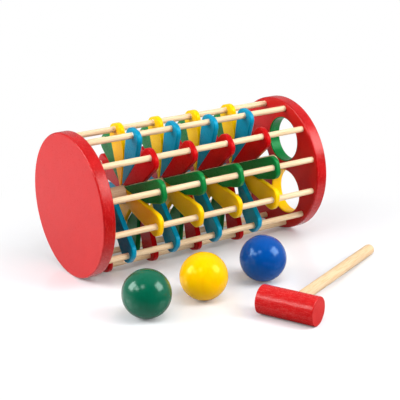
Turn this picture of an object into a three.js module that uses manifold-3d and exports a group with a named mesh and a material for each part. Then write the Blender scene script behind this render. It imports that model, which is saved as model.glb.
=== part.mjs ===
// Wooden rolling drum with a spiral of painted treads, three balls and a hammer.
// The drum lies on its side along X with its solid end at the left. Lengths are in millimetres, Z is up.
import * as THREE from 'three';
import { mergeVertices } from 'three/addons/utils/BufferGeometryUtils.js';
import Module from 'manifold-3d';

const wasm = await Module();
wasm.setup();

// Driving sizes of the two end discs
const DRUM_LENGTH = 261.6;
const DISC_DIAMETER = 142;
const DISC_THICKNESS = 12.8;
const DISC_EDGE_ROUND = 1.6;

// Balls, and the clearance that their holes in the right disc give them
const BALL_DIAMETER = 45;
const BALL_CLEARANCE = 0.5;
const BALL_HOLE_PITCH_RADIUS = 32.5;
const BALL_HOLE_CHAMFER = 1;
const BALL_HOLE_COUNT = 3;
const BALL_HOLE_PHASE_DEG = 65.6;

// Rods that join the discs
const ROD_DIAMETER = 6;
const ROD_RIM_INSET = 6.5;
const ROD_SOCKET_DEPTH = 8;
const ROD_COUNT = 12;
const ROD_PHASE_DEG = 17;
const ROD_STEPS_TO_FRONT = 3;
const ROD_NUMBER_DIGITS = 2;

// Post on the drum's axis, with a turned spigot at each end
const POST_DIAMETER = 18;
const SPIGOT_DIAMETER = 10;
const SPIGOT_LENGTH = 8;

// Treads: flat tapered blades that stand round the post like stairs
const TREAD_THICKNESS = 5.5;
const TREAD_WIDTH = 24;
const TREAD_INNER_WIDTH = 16;
const TREAD_CORNER_ROUND = 7;
const TREAD_EDGE_CHAMFER = 0.8;
const TREAD_RIM_MARGIN = 0.5;
const STAIR_START = 51.2;
const STAIR_LANDING = 48.3;
const TURN_COUNT = 4;
const WHOLE_TREAD_STEPS = 3;

// Hammer
const HEAD_DIAMETER = 27;
const HEAD_LENGTH = 56.5;
const HEAD_EDGE_ROUND = 1;
const HANDLE_DIAMETER = 11;
const HANDLE_REACH = 184.5;
const HANDLE_PAST_AXIS = 6;
const HANDLE_INNER_CHAMFER = 0.8;
const HAMMER_YAW_DEG = -64.8;

// Clearance between pieces that are glued together on the real toy
const SEAT_GAP = 0.3;
const CUT_OVERRUN = 1;

// Facets
const DISC_SIDES = 60;
const HOLE_SIDES = 32;
const ROD_SIDES = 12;
const POST_SIDES = 24;
const HEAD_SIDES = 32;
const HANDLE_SIDES = 20;
const BALL_SIDES = 24;
const BALL_RING_STEPS = 16;
const ROUND_STEPS = 2;
const HANDLE_END_STEPS = 5;
const TIP_CURVE_STEPS = 2;
const BEVEL_STEPS = 1;

// Where each rod's lowest tread sits past the stair's start, and the rod's own spacing, both as shares of
// the pitch. Rods count from the one at the top back, over the top, down the front and round. The stair
// climbs one pitch in a full turn the other way round. The treads are set by hand, so the steps are uneven
// and each rod's treads lean a little their own way, here with the root towards the solid end in degrees.
const treadStartShares = [0, 0.01, 0.04, 0.01, -0.09, -0.58, -0.835, -0.88, -0.905, 0.26, 0.17, 0.09];
const treadSpacingShares = [0.975, 0.97, 0.965, 0.98, 1.005, 1.085, 1.14, 1.13, 1.08, 1, 1, 1];
const treadLeanDegrees = [1, 1, 4, 4, 0, -5, 0, 0, 1, 0, 1, 0];

// Where the balls lie: along the drum as a share of its length, and clear of it as a share of their diameter
const ballAlongShares = { green: 0.041, yellow: 0.286, blue: 0.559 };
const ballClearShares = { green: 0.71, yellow: 0.61, blue: 0.505 };
const hammerAlongShare = 0.429;
const hammerClearShare = 2.88;

// Paints and woods as the photograph shows them
const PAINT_ROUGHNESS = 0.35;
const GLOSS_ROUGHNESS = 0.12;
const WOOD_ROUGHNESS = 0.7;
const NOT_METAL = 0;
const colours = {
  red: '#c81e22', green: '#1f7a42', yellow: '#f0b90f', blue: '#1f86ae', wood: '#e6c79c',
  ballGreen: '#0e6a3a', ballYellow: '#f2b705', ballBlue: '#0b4a9c',
};
const treadColourOrder = ['yellow', 'blue', 'red', 'green'];
const holeColourOrder = ['green', 'yellow', 'blue'];

// Sizes that follow from the driving ones
const HALF = 0.5;
const FULL_TURN = Math.PI * 2;
const QUARTER_TURN = Math.PI * HALF;
const COORDINATE_COUNT = 3;
const discRadius = DISC_DIAMETER * HALF;
const rodRadius = ROD_DIAMETER * HALF;
const rodCircleRadius = discRadius - ROD_RIM_INSET;
const postRadius = POST_DIAMETER * HALF;
const ballRadius = BALL_DIAMETER * HALF;
const ballHoleRadius = ballRadius + BALL_CLEARANCE * HALF;
const headRadius = HEAD_DIAMETER * HALF;
const handleRadius = HANDLE_DIAMETER * HALF;
const innerFaceLeft = DISC_THICKNESS;
const innerFaceRight = DRUM_LENGTH - DISC_THICKNESS;
const clearLength = innerFaceRight - innerFaceLeft;
const halfTread = TREAD_THICKNESS * HALF;
// The discs lie on a flat facet, so the axis is one facet's apothem above the floor
const axisHeight = discRadius * Math.cos(Math.PI / DISC_SIDES);
const headHeight = headRadius * Math.cos(Math.PI / HEAD_SIDES);
const treadPitch = (clearLength - STAIR_START - STAIR_LANDING) / (TURN_COUNT - 1);
const tipRadius = discRadius - TREAD_RIM_MARGIN;
const treadTaper = Math.atan2(
  (TREAD_WIDTH - TREAD_INNER_WIDTH) * HALF,
  tipRadius - TREAD_CORNER_ROUND - postRadius,
);
const halfWidthAtAxis = TREAD_INNER_WIDTH * HALF - postRadius * Math.tan(treadTaper);

function solidOf(geometry) {
  const bare = geometry.clone();
  bare.deleteAttribute('normal');
  bare.deleteAttribute('uv');
  const merged = mergeVertices(bare);
  return new wasm.Manifold(new wasm.Mesh({
    numProp: COORDINATE_COUNT,
    vertProperties: new Float32Array(merged.attributes.position.array),
    triVerts: new Uint32Array(merged.index.array),
  }));
}

function geometryOf(solid) {
  const mesh = solid.getMesh();
  const geometry = new THREE.BufferGeometry();
  geometry.setAttribute('position', new THREE.BufferAttribute(mesh.vertProperties, COORDINATE_COUNT));
  geometry.setIndex(new THREE.BufferAttribute(mesh.triVerts, 1));
  geometry.computeVertexNormals();
  return geometry;
}

function paint(colour, roughness) {
  return new THREE.MeshStandardMaterial({ color: colours[colour], roughness, metalness: NOT_METAL });
}

function namedMesh(name, solid, colour, roughness) {
  const mesh = new THREE.Mesh(geometryOf(solid), paint(colour, roughness));
  mesh.name = name;
  return mesh;
}

// A quarter round between two straight stretches of a turned profile, from its centre and radius
function quarterRound(centreX, centreY, radius, startAngle, steps) {
  const points = [];
  for (let step = 0; step <= steps; step += 1) {
    const angle = startAngle + (QUARTER_TURN * step) / steps;
    points.push(new THREE.Vector2(centreX + radius * Math.cos(angle), centreY + radius * Math.sin(angle)));
  }
  return points;
}

// Turns a profile of radius and height about Y, then lays it along X with its height running to the right
function turnedAlongX(profile, sides) {
  const geometry = new THREE.LatheGeometry(profile, sides);
  geometry.rotateY(Math.PI / sides);
  geometry.rotateZ(-QUARTER_TURN);
  return geometry;
}

function rodAlongX(radius, length, sides) {
  const geometry = new THREE.CylinderGeometry(radius, radius, length, sides);
  geometry.rotateZ(-QUARTER_TURN);
  geometry.translate(length * HALF, 0, 0);
  return solidOf(geometry);
}

// Angles are measured from the front of the drum upward
function ringPlace(radius, angle) {
  return { y: -radius * Math.cos(angle), z: radius * Math.sin(angle) };
}

function rodAngle(index) {
  const phase = THREE.MathUtils.degToRad(ROD_PHASE_DEG);
  return phase + ((ROD_STEPS_TO_FRONT - index) * FULL_TURN) / ROD_COUNT;
}

function holeAngle(index) {
  const phase = THREE.MathUtils.degToRad(BALL_HOLE_PHASE_DEG);
  return phase - (index * FULL_TURN) / BALL_HOLE_COUNT;
}

function discBlank() {
  const inset = discRadius - DISC_EDGE_ROUND;
  const profile = [
    new THREE.Vector2(0, 0),
    ...quarterRound(inset, DISC_EDGE_ROUND, DISC_EDGE_ROUND, -QUARTER_TURN, ROUND_STEPS),
    ...quarterRound(inset, DISC_THICKNESS - DISC_EDGE_ROUND, DISC_EDGE_ROUND, 0, ROUND_STEPS),
    new THREE.Vector2(0, DISC_THICKNESS),
  ];
  return solidOf(turnedAlongX(profile, DISC_SIDES));
}

// Blind sockets for the rods and the post's spigot, sunk from the face that is turned to the other disc
function socketCutters(openFace, towardsRight) {
  const direction = towardsRight ? -1 : 1;
  const cutters = [];
  const addCutter = (radius, depth, sides, y, z) => {
    const length = depth + CUT_OVERRUN;
    const start = direction > 0 ? openFace - CUT_OVERRUN : openFace - depth;
    cutters.push(rodAlongX(radius, length, sides).translate([start, y, z]));
  };
  for (let index = 0; index < ROD_COUNT; index += 1) {
    const place = ringPlace(rodCircleRadius, rodAngle(index));
    addCutter(rodRadius + SEAT_GAP, ROD_SOCKET_DEPTH, ROD_SIDES, place.y, place.z);
  }
  addCutter(SPIGOT_DIAMETER * HALF + SEAT_GAP, SPIGOT_LENGTH, POST_SIDES, 0, 0);
  return wasm.Manifold.union(cutters);
}

// The ball hole is flared by a chamfer at both faces of the disc
function ballHoleCutter() {
  const flared = ballHoleRadius + BALL_HOLE_CHAMFER;
  const profile = [
    new THREE.Vector2(0, -CUT_OVERRUN),
    new THREE.Vector2(flared, -CUT_OVERRUN),
    new THREE.Vector2(flared, 0),
    new THREE.Vector2(ballHoleRadius, BALL_HOLE_CHAMFER),
    new THREE.Vector2(ballHoleRadius, DISC_THICKNESS - BALL_HOLE_CHAMFER),
    new THREE.Vector2(flared, DISC_THICKNESS),
    new THREE.Vector2(flared, DISC_THICKNESS + CUT_OVERRUN),
    new THREE.Vector2(0, DISC_THICKNESS + CUT_OVERRUN),
  ];
  return solidOf(turnedAlongX(profile, HOLE_SIDES));
}

function solidEndDisc() {
  return discBlank().subtract(socketCutters(innerFaceLeft, true));
}

function holedEndDisc() {
  let disc = discBlank().translate([innerFaceRight, 0, 0]);
  disc = disc.subtract(socketCutters(innerFaceRight, false));
  for (let index = 0; index < BALL_HOLE_COUNT; index += 1) {
    const place = ringPlace(BALL_HOLE_PITCH_RADIUS, holeAngle(index));
    disc = disc.subtract(ballHoleCutter().translate([innerFaceRight, place.y, place.z]));
  }
  return disc;
}

function centrePost() {
  const start = innerFaceLeft - SPIGOT_LENGTH + SEAT_GAP;
  const end = innerFaceRight + SPIGOT_LENGTH - SEAT_GAP;
  const spigot = SPIGOT_DIAMETER * HALF;
  const profile = [
    new THREE.Vector2(0, start),
    new THREE.Vector2(spigot, start),
    new THREE.Vector2(spigot, innerFaceLeft + SEAT_GAP),
    new THREE.Vector2(postRadius, innerFaceLeft + SEAT_GAP),
    new THREE.Vector2(postRadius, innerFaceRight - SEAT_GAP),
    new THREE.Vector2(spigot, innerFaceRight - SEAT_GAP),
    new THREE.Vector2(spigot, end),
    new THREE.Vector2(0, end),
  ];
  return solidOf(turnedAlongX(profile, POST_SIDES));
}

function plainRod(angle) {
  const start = innerFaceLeft - ROD_SOCKET_DEPTH + SEAT_GAP;
  const length = clearLength + (ROD_SOCKET_DEPTH - SEAT_GAP) * 2;
  const place = ringPlace(rodCircleRadius, angle);
  return rodAlongX(rodRadius, length, ROD_SIDES).translate([start, place.y, place.z]);
}

// Outline of a whole blade with its length along X, its tip at +X and the rod's centre at the origin.
// It starts on the drum's axis, and the post's place is cut from it later.
function bladeShape(lean) {
  const lift = halfTread * Math.abs(Math.sin(lean));
  const root = -rodCircleRadius / Math.cos(lean);
  const tip = (tipRadius - rodCircleRadius - lift) / Math.cos(lean);
  const halfWidth = TREAD_WIDTH * HALF;
  const roundStart = tip - TREAD_CORNER_ROUND;
  const roundOffset = halfWidth - TREAD_CORNER_ROUND;
  const shape = new THREE.Shape();
  shape.moveTo(root, -halfWidthAtAxis);
  shape.lineTo(roundStart, -halfWidth);
  shape.absarc(roundStart, -roundOffset, TREAD_CORNER_ROUND, -QUARTER_TURN, 0, false);
  shape.absarc(roundStart, roundOffset, TREAD_CORNER_ROUND, 0, QUARTER_TURN, false);
  shape.lineTo(root, halfWidthAtAxis);
  shape.closePath();
  return shape;
}

// A blade with softened edges that leans about its rod, with its root towards the solid end.
// It stands on the front of the drum: its length runs to -Y and its thickness along X.
function leaningBlade(lean) {
  const geometry = new THREE.ExtrudeGeometry(bladeShape(lean), {
    depth: TREAD_THICKNESS - TREAD_EDGE_CHAMFER * 2,
    bevelEnabled: true,
    bevelThickness: TREAD_EDGE_CHAMFER,
    bevelSize: TREAD_EDGE_CHAMFER,
    bevelOffset: -TREAD_EDGE_CHAMFER,
    bevelSegments: BEVEL_STEPS,
    curveSegments: TIP_CURVE_STEPS,
  });
  geometry.translate(0, 0, TREAD_EDGE_CHAMFER - halfTread);
  const toFront = new THREE.Matrix4().makeBasis(
    new THREE.Vector3(0, -1, 0),
    new THREE.Vector3(0, 0, -1),
    new THREE.Vector3(1, 0, 0),
  );
  geometry.applyMatrix4(toFront);
  geometry.rotateZ(lean);
  return solidOf(geometry);
}

// Turns a front-standing solid about the drum's axis to a rod's place
function turnedToRod(solid, angle) {
  const quarter = new THREE.Matrix4().makeRotationX(-angle);
  return solid.transform(quarter.elements);
}

function treadLean(index) {
  return THREE.MathUtils.degToRad(treadLeanDegrees[index]);
}

function treadLowFace(index, turn) {
  const steps = treadStartShares[index] + treadSpacingShares[index] * turn;
  return innerFaceLeft + STAIR_START + treadPitch * steps;
}

// The stretch of the drum's length that a tread covers between its rod and the post
function treadSpan(index, turn) {
  const lean = treadLean(index);
  const atRod = treadLowFace(index, turn);
  const atPost = atRod - (rodCircleRadius - postRadius) * Math.tan(lean);
  return {
    low: Math.min(atRod, atPost),
    high: Math.max(atRod, atPost) + TREAD_THICKNESS / Math.cos(lean),
  };
}

// A whole tread reaches past the treads of the next rods, which then have to stand clear of it
function standsClear(index, turn) {
  const own = treadSpan(index, turn);
  for (let step = 1; step <= WHOLE_TREAD_STEPS; step += 1) {
    for (let other = 0; other < TURN_COUNT; other += 1) {
      const next = treadSpan((index + step) % ROD_COUNT, other);
      if (next.low < own.high + SEAT_GAP && own.low < next.high + SEAT_GAP) {
        return false;
      }
    }
  }
  return true;
}

// All that lies below the upper edge of a rod's treads, and a gap above it
function spaceBelowTreads(angle) {
  const box = new THREE.BoxGeometry(DRUM_LENGTH, DISC_DIAMETER, DISC_DIAMETER);
  box.translate(DRUM_LENGTH * HALF, 0, SEAT_GAP - discRadius);
  box.rotateX(-treadTaper);
  box.translate(0, 0, halfWidthAtAxis);
  return turnedToRod(solidOf(box), angle);
}

// A tread on its rod, with its root hollowed for the post and cut back where the next rod's treads pass it
function treadOnRod(index, turn) {
  const lean = treadLean(index);
  const along = treadLowFace(index, turn) + halfTread / Math.cos(lean);
  const placed = leaningBlade(lean).translate([along, -rodCircleRadius, 0]);
  const postSpace = rodAlongX(postRadius + SEAT_GAP, DRUM_LENGTH, POST_SIDES);
  const tread = turnedToRod(placed, rodAngle(index)).subtract(postSpace);
  return standsClear(index, turn) ? tread : tread.subtract(spaceBelowTreads(rodAngle(index + 1)));
}

function boredForRod(tread, angle) {
  const place = ringPlace(rodCircleRadius, angle);
  const bore = rodAlongX(rodRadius + SEAT_GAP, DRUM_LENGTH, ROD_SIDES);
  return tread.subtract(bore.translate([0, place.y, place.z]));
}

// Adds a rod with its lowest tread, glued to it as one solid, and the rod's other treads as their own pieces
function addRodWithTreads(drum, index) {
  const angle = rodAngle(index);
  const colour = treadColourOrder[index % treadColourOrder.length];
  const number = String(index + 1).padStart(ROD_NUMBER_DIGITS, '0');
  const rod = plainRod(angle).add(treadOnRod(index, 0));
  drum.add(namedMesh(`rod_${number}_with_${colour}_tread`, rod, 'wood', WOOD_ROUGHNESS));
  for (let turn = 1; turn < TURN_COUNT; turn += 1) {
    const tread = boredForRod(treadOnRod(index, turn), angle);
    const name = `${colour}_tread_rod_${number}_turn_${turn + 1}`;
    drum.add(namedMesh(name, tread, colour, PAINT_ROUGHNESS));
  }
}

function makeDrum() {
  const drum = new THREE.Group();
  drum.add(namedMesh('solid_end_disc', solidEndDisc(), 'red', PAINT_ROUGHNESS));
  drum.add(namedMesh('holed_end_disc', holedEndDisc(), 'red', PAINT_ROUGHNESS));
  drum.add(namedMesh('centre_post', centrePost(), 'wood', WOOD_ROUGHNESS));
  for (let index = 0; index < ROD_COUNT; index += 1) {
    addRodWithTreads(drum, index);
  }
  drum.position.z = axisHeight;
  return drum;
}

function makeBall(colour) {
  const geometry = new THREE.SphereGeometry(ballRadius, BALL_SIDES, BALL_RING_STEPS);
  geometry.rotateX(QUARTER_TURN);
  const paintName = `ball${colour[0].toUpperCase()}${colour.slice(1)}`;
  const ball = namedMesh(`${colour}_ball`, solidOf(geometry), paintName, GLOSS_ROUGHNESS);
  const along = DRUM_LENGTH * ballAlongShares[colour];
  const across = discRadius + ballRadius + BALL_DIAMETER * ballClearShares[colour];
  ball.position.set(along, -across, ballRadius);
  return ball;
}

// Hammer head along X with its axis at the origin, and a blind socket for the handle sunk from the +Y side
function hammerHead() {
  const inset = headRadius - HEAD_EDGE_ROUND;
  const profile = [
    new THREE.Vector2(0, 0),
    ...quarterRound(inset, HEAD_EDGE_ROUND, HEAD_EDGE_ROUND, -QUARTER_TURN, ROUND_STEPS),
    ...quarterRound(inset, HEAD_LENGTH - HEAD_EDGE_ROUND, HEAD_EDGE_ROUND, 0, ROUND_STEPS),
    new THREE.Vector2(0, HEAD_LENGTH),
  ];
  const blank = solidOf(turnedAlongX(profile, HEAD_SIDES)).translate([-HEAD_LENGTH * HALF, 0, 0]);
  const depth = HANDLE_PAST_AXIS + SEAT_GAP;
  const length = depth + headRadius + CUT_OVERRUN;
  const socket = new THREE.CylinderGeometry(
    handleRadius + SEAT_GAP, handleRadius + SEAT_GAP, length, HANDLE_SIDES,
  );
  socket.translate(0, length * HALF - depth, 0);
  return blank.subtract(tippedToFloor(solidOf(socket)));
}

// The handle's far end rests on the floor, so it leans down from the head's axis
function tippedToFloor(solid) {
  const drop = headHeight - handleRadius;
  const reach = HANDLE_REACH - handleRadius;
  const lean = new THREE.Matrix4().makeRotationX(-Math.asin(drop / reach));
  return solid.transform(lean.elements);
}

function hammerHandle() {
  const start = -HANDLE_PAST_AXIS;
  const inner = handleRadius - HANDLE_INNER_CHAMFER;
  const profile = [
    new THREE.Vector2(0, start),
    new THREE.Vector2(inner, start),
    new THREE.Vector2(handleRadius, start + HANDLE_INNER_CHAMFER),
    ...quarterRound(0, HANDLE_REACH - handleRadius, handleRadius, 0, HANDLE_END_STEPS),
  ];
  profile[profile.length - 1].x = 0;
  return tippedToFloor(solidOf(new THREE.LatheGeometry(profile, HANDLE_SIDES)));
}

function makeHammer() {
  const hammer = new THREE.Group();
  hammer.add(namedMesh('hammer_head', hammerHead(), 'red', PAINT_ROUGHNESS));
  hammer.add(namedMesh('hammer_handle', hammerHandle(), 'wood', WOOD_ROUGHNESS));
  const across = discRadius + BALL_DIAMETER * hammerClearShare;
  hammer.position.set(DRUM_LENGTH * hammerAlongShare, -across, headHeight);
  hammer.rotation.z = THREE.MathUtils.degToRad(HAMMER_YAW_DEG);
  return hammer;
}

const toySet = new THREE.Group();
toySet.add(makeDrum());
for (const colour of holeColourOrder) {
  toySet.add(makeBall(colour));
}
toySet.add(makeHammer());

// The set's origin is on the floor, at the middle of the space that its pieces cover
const covered = new THREE.Box3().setFromObject(toySet, true).getCenter(new THREE.Vector3());
toySet.position.set(-covered.x, -covered.y, 0);

export default toySet;
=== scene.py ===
"""Looks of the wooden ball drum: two discs, rods, a stair of painted treads, three balls and a hammer.

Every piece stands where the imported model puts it, in metres. The drum's own pieces are laid out in a
drum frame: X runs along the drum from the solid disc's outer face, Y and Z are measured from its axis.
"""

import logging
import math
import random
from dataclasses import dataclass
from enum import Enum

import bmesh
import bpy
from bmesh.types import BMesh
from bpy.types import Material, Node, NodeSocket, NodeTree
from mathutils import Matrix, Vector, noise
from mathutils.geometry import intersect_line_line, intersect_line_sphere_2d

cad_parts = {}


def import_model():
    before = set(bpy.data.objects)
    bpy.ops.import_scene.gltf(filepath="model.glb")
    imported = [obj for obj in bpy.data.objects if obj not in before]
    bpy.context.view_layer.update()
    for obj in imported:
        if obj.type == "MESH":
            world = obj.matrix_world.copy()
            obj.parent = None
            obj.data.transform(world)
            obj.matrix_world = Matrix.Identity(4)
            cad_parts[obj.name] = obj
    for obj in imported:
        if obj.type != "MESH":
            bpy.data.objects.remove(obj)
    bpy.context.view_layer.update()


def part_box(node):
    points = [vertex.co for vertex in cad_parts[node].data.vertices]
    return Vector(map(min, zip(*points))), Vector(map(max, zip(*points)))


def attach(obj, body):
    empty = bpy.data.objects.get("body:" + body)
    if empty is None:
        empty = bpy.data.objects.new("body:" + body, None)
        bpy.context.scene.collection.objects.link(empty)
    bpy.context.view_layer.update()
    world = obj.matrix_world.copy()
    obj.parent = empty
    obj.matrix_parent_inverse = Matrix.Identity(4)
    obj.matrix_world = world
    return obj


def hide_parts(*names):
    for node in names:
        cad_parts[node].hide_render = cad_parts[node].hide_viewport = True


LOG = logging.getLogger("ball_drum")
MM = 0.001
FULL_TURN = 2 * math.pi
QUARTER_TURN = math.pi / 2
HAMMER_YAW = math.radians(-64.8)
DRUM_BODY = "drum"
NODE_SPACING = 220
SHARP_ANGLE = math.radians(50)
WELD_DISTANCE = 1e-7
ON_AXIS = 1e-9
EDGE_STEPS = 4
PAINT_IOR = 1.5
WHITE = (1.0, 1.0, 1.0, 1.0)
# Inputs of a Map Range node, in the order in which a Span gives them
RANGE = ("From Min", "From Max", "To Min", "To Max")

Point2 = tuple[float, float]
Point3 = tuple[float, float, float]
Floats = tuple[float, ...]
Span = tuple[float, float, float, float]
Colour = tuple[float, float, float, float]
Loop = list[Point2]


class Grain(Enum):
    """Direction that a pattern runs in, as the rotation that lays X along it."""

    ALONG_DRUM = (0.0, 0.0, 0.0)
    UPRIGHT = (0.0, -QUARTER_TURN, 0.0)
    HAMMER_HEAD = (0.0, 0.0, HAMMER_YAW)
    HAMMER_HANDLE = (0.0, 0.0, HAMMER_YAW + QUARTER_TURN)


class Paint(Enum):
    """The four tread colours, in the order in which they follow each other round the drum."""

    YELLOW = "yellow"
    BLUE = "blue"
    RED = "red"
    GREEN = "green"

    @classmethod
    def on_rod(cls, index: int) -> "Paint":
        """Returns the colour of a rod's treads."""
        return list(cls)[index % len(cls)]


# Colour and node helpers
def linear(hex_colour: str) -> Colour:
    """Turns an sRGB hex colour into the linear values that shaders use, by the sRGB standard's curve.

    Args:
        hex_colour: The colour as #rrggbb.

    Returns:
        Linear red, green and blue, and an alpha of one.
    """
    channels = [int(hex_colour[i : i + 2], 16) / 255 for i in (1, 3, 5)]
    red, green, blue = (c / 12.92 if c <= 0.04045 else ((c + 0.055) / 1.055) ** 2.4 for c in channels)
    return (red, green, blue, 1.0)


def find_socket(sockets: list[NodeSocket], name: str) -> NodeSocket:
    """Finds a socket by its identifier, such as Shader_001, or else by its name.

    Args:
        sockets: A node's inputs or outputs.
        name: The identifier, or the name with underscores for its spaces.

    Returns:
        The first socket that fits.
    """
    spoken = name.replace("_", " ")
    by_identifier = [socket for socket in sockets if socket.identifier == name]
    return (by_identifier or [socket for socket in sockets if socket.name == spoken])[0]


def add_node(
    tree: NodeTree, kind: str, settings: dict | None = None, **links: Node | tuple[Node, str]
) -> Node:
    """Adds a node with its settings, socket values and links.

    Args:
        tree: The node tree to add to.
        kind: The node's type after ShaderNode, such as Bump.
        settings: Attributes of the node by name, and socket values by socket.
        links: What feeds each input: a node, for its first output, or a node and an output's name.

    Returns:
        The new node.
    """
    node = tree.nodes.new(f"ShaderNode{kind}")
    node.location = (NODE_SPACING * len(tree.nodes), 0)
    for name, value in (settings or {}).items():
        if hasattr(node, name):
            setattr(node, name, value)
        else:
            find_socket(node.inputs, name).default_value = value
    for name, source in links.items():
        giver, output = source if isinstance(source, tuple) else (source, source.outputs[0].identifier)
        tree.links.new(find_socket(giver.outputs, output), find_socket(node.inputs, name))
    return node


def stretched_noise(tree: NodeTree, length: float, width: float, grain: Grain, **settings: float) -> Node:
    """Adds a noise pattern that is drawn out along the grain.

    Args:
        tree: The node tree to add to.
        length: Length of one feature in mm, along the grain.
        width: Width of one feature in mm, across it.
        grain: Direction of the grain.
        settings: Noise settings by name, such as Detail.

    Returns:
        The noise node.
    """
    place = add_node(tree, "TexCoord")
    turn = {"vector_type": "TEXTURE", "Rotation": grain.value}
    laid = add_node(tree, "Mapping", turn, Vector=(place, "Object"))
    scale = {"Scale": tuple(1 / (size * MM) for size in (length, width, width))}
    scaled = add_node(tree, "Mapping", scale, Vector=laid)
    return add_node(tree, "TexNoise", {"Scale": 1.0, **settings}, Vector=scaled)


# Finishes
@dataclass(frozen=True)
class Finish:
    """The finish of one real material, which it is named after."""

    name: str

    def shader(self, tree: NodeTree) -> Node:
        """Adds the finish's nodes to a tree and returns its shader."""
        raise NotImplementedError

    def material(self) -> Material:
        """Builds the material and returns it."""
        material = bpy.data.materials.new(self.name)
        material.use_nodes = True
        tree = material.node_tree
        tree.nodes.clear()
        add_node(tree, "OutputMaterial", Surface=self.shader(tree))
        return material


@dataclass(frozen=True)
class WoodPaint(Finish):
    """Opaque satin paint, dipped or brushed on wood: the wood's pores and the brush show as faint relief.

    Attributes:
        colour: Paint colour as it is written on a paint card, sRGB hex.
        worn: Slightly thinner or paler tone of the same paint.
        streak_length: Length of a brush streak in mm.
        streak_width: Width of a brush streak in mm, drawn about twice as coarse as bristle marks.
        relief: Height of the streaks in mm.
        sheen_tint: Colour of the film's mirror reflection, which pigment at the surface tints, sRGB hex.
        glint_tone: Pale tone painted in flecks along the brush streaks, as painted highlights, sRGB hex.
        glint_share: How strongly the painted highlight flecks show at their brightest, 0 to 1.
        glint_stops: Values of the streaks between which the painted highlight flecks fade in.
        cloud: Size in mm of the slow shifts to the paler tone.
        worn_share: From their pattern to its share.
        pore: Length and width of a pore in mm, drawn coarser than birch's own so that it shows.
        gloss: From the pores to what they add to the roughness.
    """

    colour: str
    worn: str
    roughness: float = 0.34
    streak_length: float = 16.0
    streak_width: float = 1.1
    relief: float = 0.05
    grain: Grain = Grain.UPRIGHT
    sheen_tint: str = "#ffffff"
    glint_tone: str = "#ffffff"
    glint_share: float = 0.0
    glint_stops: Point2 = (0.5, 0.72)
    cloud: float = 14.0
    worn_share: Span = (0.35, 0.75, 0.0, 0.55)
    pore: Point2 = (1.4, 0.5)
    gloss: Span = (0.3, 0.7, -0.07, 0.1)

    def shader(self, tree: NodeTree) -> Node:
        """Adds the paint's nodes to a tree and returns its shader."""
        fine = {"Detail": 4.0, "Roughness": 0.6}
        streaks = stretched_noise(tree, self.streak_length, self.streak_width, self.grain, **fine)
        clouds = stretched_noise(tree, self.cloud, self.cloud, self.grain, Detail=2.0)
        pores = stretched_noise(tree, *self.pore, self.grain, Detail=2.0)
        # The film is a little thinner on high spots, so the colour shifts slowly over the piece
        share = add_node(tree, "MapRange", dict(zip(RANGE, self.worn_share)), Value=clouds)
        tones = {"data_type": "RGBA", "A_Color": linear(self.colour), "B_Color": linear(self.worn)}
        film = add_node(tree, "Mix", tones, Factor=share)
        # Pale flecks along the brush streaks are painted highlights: colour that stands in for glints of
        # light
        if self.glint_share > 0:
            span = dict(zip(RANGE, (*self.glint_stops, 0.0, self.glint_share)))
            glint_mask = add_node(tree, "MapRange", span, Value=streaks)
            glint_tone = {"data_type": "RGBA", "B_Color": linear(self.glint_tone)}
            film = add_node(tree, "Mix", glint_tone, Factor=glint_mask, A_Color=(film, "Result_Color"))
        low, high, less, more = self.gloss
        span = dict(zip(RANGE, (low, high, self.roughness + less, self.roughness + more)))
        rough = add_node(tree, "MapRange", span, Value=pores)
        # The pores are half as deep as the brush streaks are high
        height = {"Strength": 0.5, "Distance": self.relief * MM}
        brush = add_node(tree, "Bump", height, Height=streaks)
        depth = {"Strength": 0.35, "Distance": self.relief / 2 * MM}
        stipple = add_node(tree, "Bump", depth, Height=pores, Normal=brush)
        dry = {"IOR": PAINT_IOR, "Specular Tint": linear(self.sheen_tint)}
        links = {"Base_Color": (film, "Result_Color"), "Roughness": rough, "Normal": stipple}
        return add_node(tree, "BsdfPrincipled", dry, **links)


@dataclass(frozen=True)
class BareBirch(Finish):
    """Sanded birch dowel without varnish: pale, matt, with fine straight grain along the stick.

    Attributes:
        line_stops: Values of the lines at which the wood is all late and all early.
        fleck: Length and width in mm of the short brown flecks on a dowel's side.
        fleck_share: From their pattern to how strongly they show.
        board: Length and width in mm of the board's lighter and darker stretches.
        shade: From those to the brightness.
    """

    early: str = "#f1d8b4"
    late: str = "#ddb98a"
    grain: Grain = Grain.ALONG_DRUM
    line_width: float = 0.5
    line_length: float = 38.0
    line_stops: Point2 = (0.38, 0.56)
    fleck: Point2 = (3.2, 0.22)
    fleck_tone: str = "#b98f5c"
    fleck_share: Span = (0.66, 0.78, 0.0, 0.45)
    board: Point2 = (60.0, 9.0)
    shade: Span = (0.3, 0.7, 0.93, 1.05)

    def shader(self, tree: NodeTree) -> Node:
        """Adds the wood's nodes to a tree and returns its shader."""
        fibres = {"Detail": 5.0, "Roughness": 0.62, "Distortion": 0.12}
        lines = stretched_noise(tree, self.line_length, self.line_width, self.grain, **fibres)
        flecks = stretched_noise(tree, *self.fleck, self.grain, Detail=1.0)
        board = stretched_noise(tree, *self.board, self.grain, Detail=1.0)
        ramp = add_node(tree, "ValToRGB", Fac=lines)
        tones = (self.late, self.early)
        for stop, value, tone in zip(ramp.color_ramp.elements, self.line_stops, tones):
            stop.position = value
            stop.color = linear(tone)
        share = add_node(tree, "MapRange", dict(zip(RANGE, self.fleck_share)), Value=flecks)
        brown = {"data_type": "RGBA", "B_Color": linear(self.fleck_tone)}
        flecked = add_node(tree, "Mix", brown, Factor=share, A_Color=ramp)
        shade = add_node(tree, "MapRange", dict(zip(RANGE, self.shade)), Value=board)
        toned = add_node(tree, "HueSaturation", Value=shade, Color=(flecked, "Result_Color"))
        relief = add_node(tree, "Bump", {"Strength": 0.4, "Distance": 0.04 * MM}, Height=lines)
        sanded = {"IOR": 1.45, "Roughness": 0.62}
        return add_node(tree, "BsdfPrincipled", sanded, Base_Color=toned, Normal=relief)


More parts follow.
